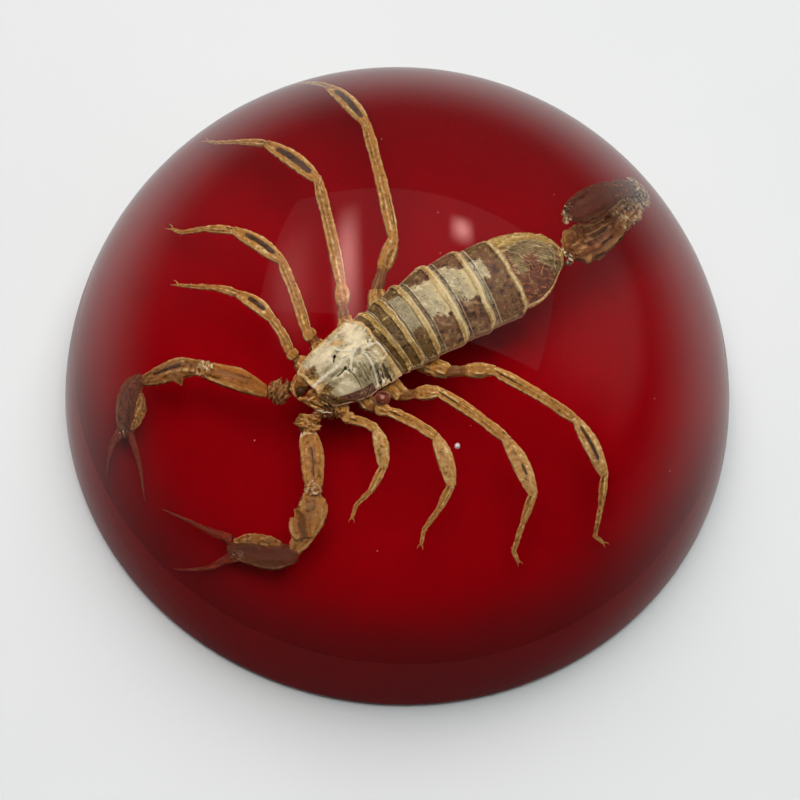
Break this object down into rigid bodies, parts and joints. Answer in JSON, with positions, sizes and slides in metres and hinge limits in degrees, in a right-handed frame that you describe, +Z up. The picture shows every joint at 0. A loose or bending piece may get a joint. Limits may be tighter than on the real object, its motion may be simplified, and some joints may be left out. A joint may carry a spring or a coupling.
{
  "type": "domed resin paperweight with a scorpion sealed in it",
  "caption": "Clear resin dome on a thick red resin foot layer, with a dried golden scorpion sealed inside. Rests flat as a paperweight.",
  "frame": {"origin": "centre of the flat underside", "axes": "+Z up along the axis that the dome is turned on; the scorpion's tail points towards +X and +Y, its head towards -X and -Y"},
  "size_m": [0.0798, 0.0798, 0.034],
  "materials": {
    "clear_resin": "polished clear cast resin, see-through",
    "red_resin": "polished opaque red cast resin",
    "scorpion_shell": "dried golden chitin, partly see-through"
  },
  "bodies": {
    "root": {"clear_resin_dome": "clear_resin", "red_resin_base": "red_resin"}
  },
  "joints": []
}
